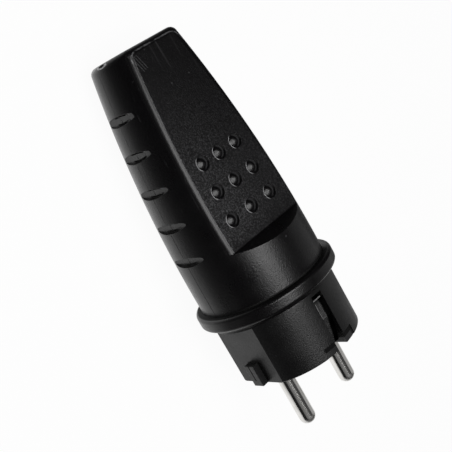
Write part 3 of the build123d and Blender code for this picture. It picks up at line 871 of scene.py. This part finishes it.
stage = {
    "floorSize": 6.0,
    "floorColour": (0.90, 0.90, 0.90, 1),
    "floorRoughness": 0.9,
    "floorWhite": 0.95,  # share of plain white that the camera sees in the floor
    "mirrorShare": 0.90,  # the same share in reflections, where the white fades with distance
    "mirrorPeak": 1.08,  # strength of that white by the plug, cut off at plain white
    "mirrorReach": (0.013, 0.15, 2.00),  # at the rear end, its growth from there, and more from the pins
    "mirrorFall": 2.5,  # power of its fall with distance
    "plugEnds": (-0.055, 0.056),
    "plugHalfWidth": (0.017, 0.10),  # at x = 0, and its growth with x
    "shadeLevel": (0.05, 0.90),  # share left on the far side, in the plug's shade: at the rear, by the nose
    "shadeRun": (-0.03, 0.02),
    "shadeSide": (0.0, 0.02),  # along y
    "shadeEnd": (-4 * mm, 2 * mm),  # along x, from the rear end
    "rearGlow": 0.8,  # white of the floor behind the rear end
    "rearGlowRun": (-0.09, -5 * mm),  # along x, from the rear end
    "rearGlowWidth": (12 * mm, 0.035),
    "room": 0.013,
}
lamps = {  # soft boxes and cards: where each hangs, its sides, and the radiance of its face
    "topBox": {"place": (-0.075, -0.115, 0.50), "size": (0.34, 0.33), "radiance": 6.1},
    "pinCard": {"place": (0.31, -0.12, 0.50), "size": (0.75, 0.30), "radiance": 0.15},
    "ceiling": {"place": (0.0, 0.0, 0.90), "size": (1.2, 1.0), "radiance": 0.03},
    "sideCard": {"place": (0.29, 0.69, 0.25), "size": (0.45, 0.80), "radiance": 0.36},
}


def floorReflection(tree):
    # painted pool of light on the floor, seen only in reflections: peak / (1 + power of the distance from
    # the plug over the reach), where the reach grows forward, with a painted shadow leaving a share of it
    # beside the plug on the far side, and a painted glow in a strip behind the rear end
    x, y = axes(tree, put(tree, "ShaderNodeTexCoord").outputs["Object"])[:2]
    rear, front = stage["plugEnds"]
    width, widening = stage["plugHalfWidth"]
    halfWidth = sums(tree, "MULTIPLY_ADD", x, widening, width)
    aside = greatest(tree, sums(tree, "SUBTRACT", absolute(tree, y), halfWidth), 0.0)
    fromRear = sums(tree, "SUBTRACT", x, rear)
    fromFront = greatest(tree, sums(tree, "SUBTRACT", x, front), 0.0)
    beyond = greatest(tree, fromFront, product(tree, fromRear, -1.0))
    away = hypotenuse(tree, aside, beyond)
    start, growth, more = stage["mirrorReach"]
    reach = sums(tree, "MULTIPLY_ADD", greatest(tree, fromRear, 0.0), growth, start)
    reach = sums(tree, "MULTIPLY_ADD", fromFront, more, reach)
    fall = sums(tree, "POWER", sums(tree, "DIVIDE", away, reach), stage["mirrorFall"])
    pool = sums(tree, "DIVIDE", stage["mirrorPeak"], sums(tree, "ADD", fall, 1.0), clamp=True)
    farShare = ramp(tree, x, *stage["shadeRun"], *stage["shadeLevel"])
    farSide = product(tree, ramp(tree, y, *stage["shadeSide"]), ramp(tree, fromRear, *stage["shadeEnd"]))
    pool = product(tree, pool, blendValues(tree, farSide, 1.0, farShare))
    glow = product(
        tree,
        ramp(tree, fromRear, *stage["rearGlowRun"], 0.0, stage["rearGlow"]),
        ramp(tree, absolute(tree, y), *stage["rearGlowWidth"], 1.0, 0.0),
        sums(tree, "LESS_THAN", fromRear, 0.0),
    )
    return greatest(tree, pool, glow)


def makeFloor():
    mesh = bpy.data.meshes.new("floor")
    half = stage["floorSize"] / 2
    corners = [(-half, -half, 0), (half, -half, 0), (half, half, 0), (-half, half, 0)]
    mesh.from_pydata(corners, [], [(0, 1, 2, 3)])
    floor = bpy.data.objects.new("floor", mesh)
    bpy.context.scene.collection.objects.link(floor)
    material, tree, shader = newMaterial("paleFloor")
    shader.inputs["Base Color"].default_value = stage["floorColour"]
    shader.inputs["Roughness"].default_value = stage["floorRoughness"]
    shader.inputs["Specular IOR Level"].default_value = 0.0
    path = put(tree, "ShaderNodeLightPath").outputs
    seen = path["Is Camera Ray"]
    mirror = greatest(tree, path["Is Glossy Ray"], path["Is Transmission Ray"])
    share = greatest(
        tree, product(tree, mirror, stage["mirrorShare"]), product(tree, seen, stage["floorWhite"])
    )
    level = greatest(tree, product(tree, mirror, floorReflection(tree)), seen)
    white = put(tree, "ShaderNodeEmission", Strength=level)
    mixed = put(tree, "ShaderNodeMixShader")
    feed(tree, mixed.inputs[0], share)
    feed(tree, mixed.inputs[1], shader.outputs[0])
    feed(tree, mixed.inputs[2], white.outputs[0])
    feed(tree, tree.nodes["Material Output"].inputs["Surface"], mixed.outputs[0])
    mesh.materials.append(material)


def makeRoom():  # dim grey walls that light the object, white where the camera looks past the floor
    world = bpy.data.worlds.new("room")
    bpy.context.scene.world = world
    world.use_nodes = True
    tree = world.node_tree
    seen = put(tree, "ShaderNodeLightPath").outputs["Is Camera Ray"]
    feed(tree, tree.nodes["Background"].inputs["Color"], (1, 1, 1, 1))
    feed(tree, tree.nodes["Background"].inputs["Strength"], ramp(tree, seen, 0.0, 1.0, stage["room"], 1.0))


def makeSoftBox(name):  # power of an even lamp face: its radiance times pi times its area
    look = lamps[name]
    light = bpy.data.lights.new(name, "AREA")
    light.shape = "RECTANGLE"
    light.size, light.size_y = look["size"]
    light.energy = look["radiance"] * math.pi * light.size * light.size_y
    lamp = bpy.data.objects.new(name, light)
    lamp.location = look["place"]
    lamp.rotation_euler = (-Vector(look["place"])).to_track_quat("-Z", "Y").to_euler()
    bpy.context.scene.collection.objects.link(lamp)


camera = {
    "place": (-91.237 * mm, -124.651 * mm, 181.465 * mm),  # in the plug's frame
    "aim": (-41.182 * mm, -1.652 * mm, 0.0),
    "roll": math.radians(91.5114),
    "lens": 66.103,
    "sensor": 36.0,
    "nearest": 0.01,
}


def makeCamera():
    data = bpy.data.cameras.new("photoView")
    data.sensor_width = camera["sensor"]
    data.lens = camera["lens"]
    data.clip_start = camera["nearest"]
    eye = bpy.data.objects.new("photoView", data)
    bpy.context.scene.collection.objects.link(eye)
    place = plugToRow @ Vector(camera["place"])
    aim = plugToRow @ Vector(camera["aim"])
    turn = (aim - place).to_track_quat("-Z", "Y").to_matrix().to_4x4()
    eye.matrix_world = Matrix.Translation(place) @ turn @ Matrix.Rotation(camera["roll"], 4, "Z")
    bpy.context.scene.camera = eye


makeFloor()
makeRoom()
for lampName in lamps:
    makeSoftBox(lampName)
makeCamera()
bpy.context.scene.view_settings.view_transform = "Standard"
print("stage and camera ready")
